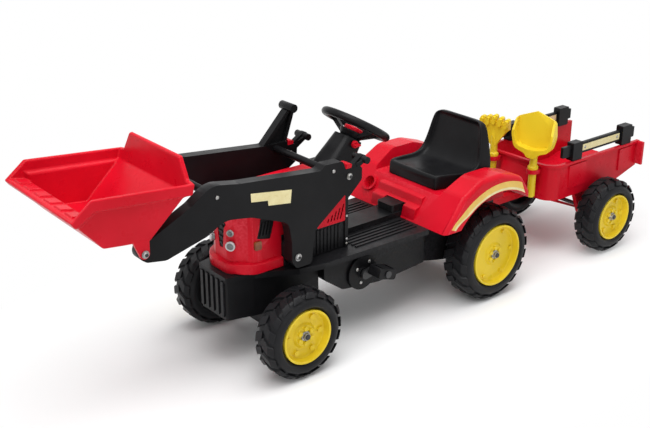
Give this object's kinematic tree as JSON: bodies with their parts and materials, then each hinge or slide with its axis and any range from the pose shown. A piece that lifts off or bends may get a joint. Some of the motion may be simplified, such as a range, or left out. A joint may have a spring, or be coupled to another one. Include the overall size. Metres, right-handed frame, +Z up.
{
  "type": "ride-on pedal tractor with front loader and trailer",
  "caption": "Child's ride-on pedal tractor with a tilting front loader bucket, steered front wheels, chain-driven rear axle and a towed tub trailer carrying a rake and shovel.",
  "frame": {"origin": "on the ground under the middle of the whole toy", "axes": "+X forward, +Y to the driver's left, +Z up"},
  "size_m": [1.853, 0.422, 0.573],
  "materials": {
    "red_plastic": "moulded, semi-gloss",
    "black_plastic": "moulded, fine grain",
    "black_tyre": "hard blow-moulded tyre",
    "yellow_plastic": "moulded, semi-gloss",
    "plated_steel": "zinc plated",
    "dark_steel": "black coated",
    "red_metal": "coated tube",
    "lamp_lens": "clear lens over a bright backing",
    "amber_lens": "tinted lens"
  },
  "bodies": {
    "tractor": {"chassis": "black_plastic", "axle_bushes": "black_plastic", "crank_covers": "black_plastic", "body_screws": "plated_steel", "hood": "red_plastic", "hood_grilles": "black_plastic", "indicator_lenses": "amber_lens", "headlights": "lamp_lens", "console": "black_plastic", "side_panels": "red_plastic", "steering_column": "black_plastic", "rear_body": "red_plastic", "seat": "black_plastic", "hitch_bracket": "dark_steel", "drive_chain": "dark_steel", "arm_pivot_bolts": "plated_steel"},
    "steering": {"steering_wheel": "black_plastic", "steering_shaft": "dark_steel"},
    "horn": {"horn_button": "red_plastic"},
    "key": {"ignition_key": "red_plastic"},
    "tie": {"tie_rod": "dark_steel"},
    "left_knuckle": {"knuckle_left": "dark_steel", "front_nut_left": "plated_steel"},
    "right_knuckle": {"knuckle_right": "dark_steel", "front_nut_right": "plated_steel"},
    "front_left_wheel": {"front_tyre_left": "black_tyre", "front_hub_left": "yellow_plastic"},
    "front_right_wheel": {"front_tyre_right": "black_tyre", "front_hub_right": "yellow_plastic"},
    "crank": {"crankshaft": "dark_steel"},
    "left_pedal": {"pedal_left": "black_plastic"},
    "right_pedal": {"pedal_right": "black_plastic"},
    "driven_axle": {"rear_axle": "dark_steel", "rear_nuts": "plated_steel", "rear_tyre_right": "black_tyre", "rear_hub_right": "yellow_plastic"},
    "rear_left_wheel": {"rear_tyre_left": "black_tyre", "rear_hub_left": "yellow_plastic"},
    "loader": {"arm_left": "black_plastic", "arm_right": "black_plastic", "crossbars": "black_plastic", "lift_lever": "black_plastic", "lock_catches": "red_plastic", "loader_bolts": "plated_steel"},
    "left_handle": {"tilt_handle_left": "black_plastic"},
    "right_handle": {"tilt_handle_right": "black_plastic"},
    "scoop": {"bucket": "red_plastic"},
    "trailer": {"trailer_tub": "red_plastic", "rail_left": "black_plastic", "rail_right": "black_plastic", "trailer_screws": "plated_steel", "trailer_frame": "red_metal", "trailer_axle": "dark_steel", "trailer_nuts": "plated_steel"},
    "trailer_left_wheel": {"trailer_tyre_left": "black_tyre", "trailer_hub_left": "yellow_plastic"},
    "trailer_right_wheel": {"trailer_tyre_right": "black_tyre", "trailer_hub_right": "yellow_plastic"},
    "rake_tool": {"rake": "yellow_plastic"},
    "shovel_tool": {"shovel": "yellow_plastic"}
  },
  "joints": [
    {"name": "steering_turn", "type": "hinge", "parent": "tractor", "child": "steering", "pos_m": [0.0895, 0, 0.504], "axis": [-0.5299, 0, 0.848], "range_deg": [-40, 40]},
    {"name": "horn_press", "type": "slide", "parent": "steering", "child": "horn", "axis": [-0.5299, 0, 0.848], "range_m": [-0.003, 0], "stiffness_N_per_m": 400},
    {"name": "key_turn", "type": "hinge", "parent": "tractor", "child": "key", "pos_m": [0.1229, 0.0336, 0.4678], "axis": [0, 1, 0], "range_deg": [0, 60]},
    {"name": "left_king_pin", "type": "hinge", "parent": "tractor", "child": "left_knuckle", "pos_m": [0.4045, 0.105, 0.109], "axis": [0, 0, 1], "range_deg": [-20, 20]},
    {"name": "right_king_pin", "type": "hinge", "parent": "tractor", "child": "right_knuckle", "pos_m": [0.4045, -0.105, 0.109], "axis": [0, 0, 1], "range_deg": [-20, 20]},
    {"name": "tie_rod_slide", "type": "slide", "parent": "tractor", "child": "tie", "axis": [0, 1, 0], "range_m": [-0.0155, 0.0155]},
    {"name": "front_left_spin", "type": "hinge", "parent": "left_knuckle", "child": "front_left_wheel", "pos_m": [0.4045, 0.1745, 0.109], "axis": [0, 1, 0], "continuous": true},
    {"name": "front_right_spin", "type": "hinge", "parent": "right_knuckle", "child": "front_right_wheel", "pos_m": [0.4045, -0.1745, 0.109], "axis": [0, 1, 0], "continuous": true},
    {"name": "driven_axle_spin", "type": "hinge", "parent": "tractor", "child": "driven_axle", "pos_m": [-0.2345, 0, 0.1275], "axis": [0, 1, 0], "continuous": true},
    {"name": "rear_left_spin", "type": "hinge", "parent": "driven_axle", "child": "rear_left_wheel", "pos_m": [-0.2345, 0.1605, 0.1275], "axis": [0, 1, 0], "continuous": true},
    {"name": "crank_spin", "type": "hinge", "parent": "tractor", "child": "crank", "pos_m": [0.1685, 0, 0.17], "axis": [0, 1, 0], "continuous": true},
    {"name": "left_pedal_spin", "type": "hinge", "parent": "crank", "child": "left_pedal", "pos_m": [0.13502, 0.16, 0.1759], "axis": [0, 1, 0], "continuous": true},
    {"name": "right_pedal_spin", "type": "hinge", "parent": "crank", "child": "right_pedal", "pos_m": [0.20198, -0.16, 0.1641], "axis": [0, 1, 0], "continuous": true},
    {"name": "loader_lift", "type": "hinge", "parent": "tractor", "child": "loader", "pos_m": [0.3675, 0, 0.27], "axis": [0, -1, 0], "range_deg": [-48, 0]},
    {"name": "bucket_tilt", "type": "hinge", "parent": "loader", "child": "scoop", "pos_m": [0.7645, 0, 0.395], "axis": [0, 1, 0], "range_deg": [-5, 60]},
    {"name": "left_handle_swing", "type": "hinge", "parent": "loader", "child": "left_handle", "pos_m": [0.2155, 0.1115, 0.433], "axis": [0, 1, 0], "range_deg": [-25, 3]},
    {"name": "right_handle_swing", "type": "hinge", "parent": "loader", "child": "right_handle", "pos_m": [0.2155, -0.1115, 0.433], "axis": [0, 1, 0], "range_deg": [-25, 3]},
    {"name": "trailer_yaw", "type": "hinge", "parent": "tractor", "child": "trailer", "pos_m": [-0.3955, 0, 0.165], "axis": [0, 0, 1], "range_deg": [-45, 45]},
    {"name": "trailer_left_spin", "type": "hinge", "parent": "trailer", "child": "trailer_left_wheel", "pos_m": [-0.7295, 0.1745, 0.109], "axis": [0, 1, 0], "continuous": true},
    {"name": "trailer_right_spin", "type": "hinge", "parent": "trailer", "child": "trailer_right_wheel", "pos_m": [-0.7295, -0.1745, 0.109], "axis": [0, 1, 0], "continuous": true},
    {"name": "rake_lift", "type": "slide", "parent": "trailer", "child": "rake_tool", "axis": [0, 0, 1], "range_m": [0, 0.08]},
    {"name": "shovel_lift", "type": "slide", "parent": "trailer", "child": "shovel_tool", "axis": [0, 0, 1], "range_m": [0, 0.08]}
  ],
  "couplings": [
    {"joint": "left_king_pin", "follows": "steering_turn", "ratio": 0.5},
    {"joint": "right_king_pin", "follows": "steering_turn", "ratio": 0.5},
    {"joint": "tie_rod_slide", "follows": "steering_turn", "m_per_rad": -0.0221},
    {"joint": "crank_spin", "follows": "driven_axle_spin", "ratio": 1},
    {"joint": "left_handle_swing", "follows": "bucket_tilt", "ratio": -0.4},
    {"joint": "right_handle_swing", "follows": "bucket_tilt", "ratio": -0.4}
  ]
}
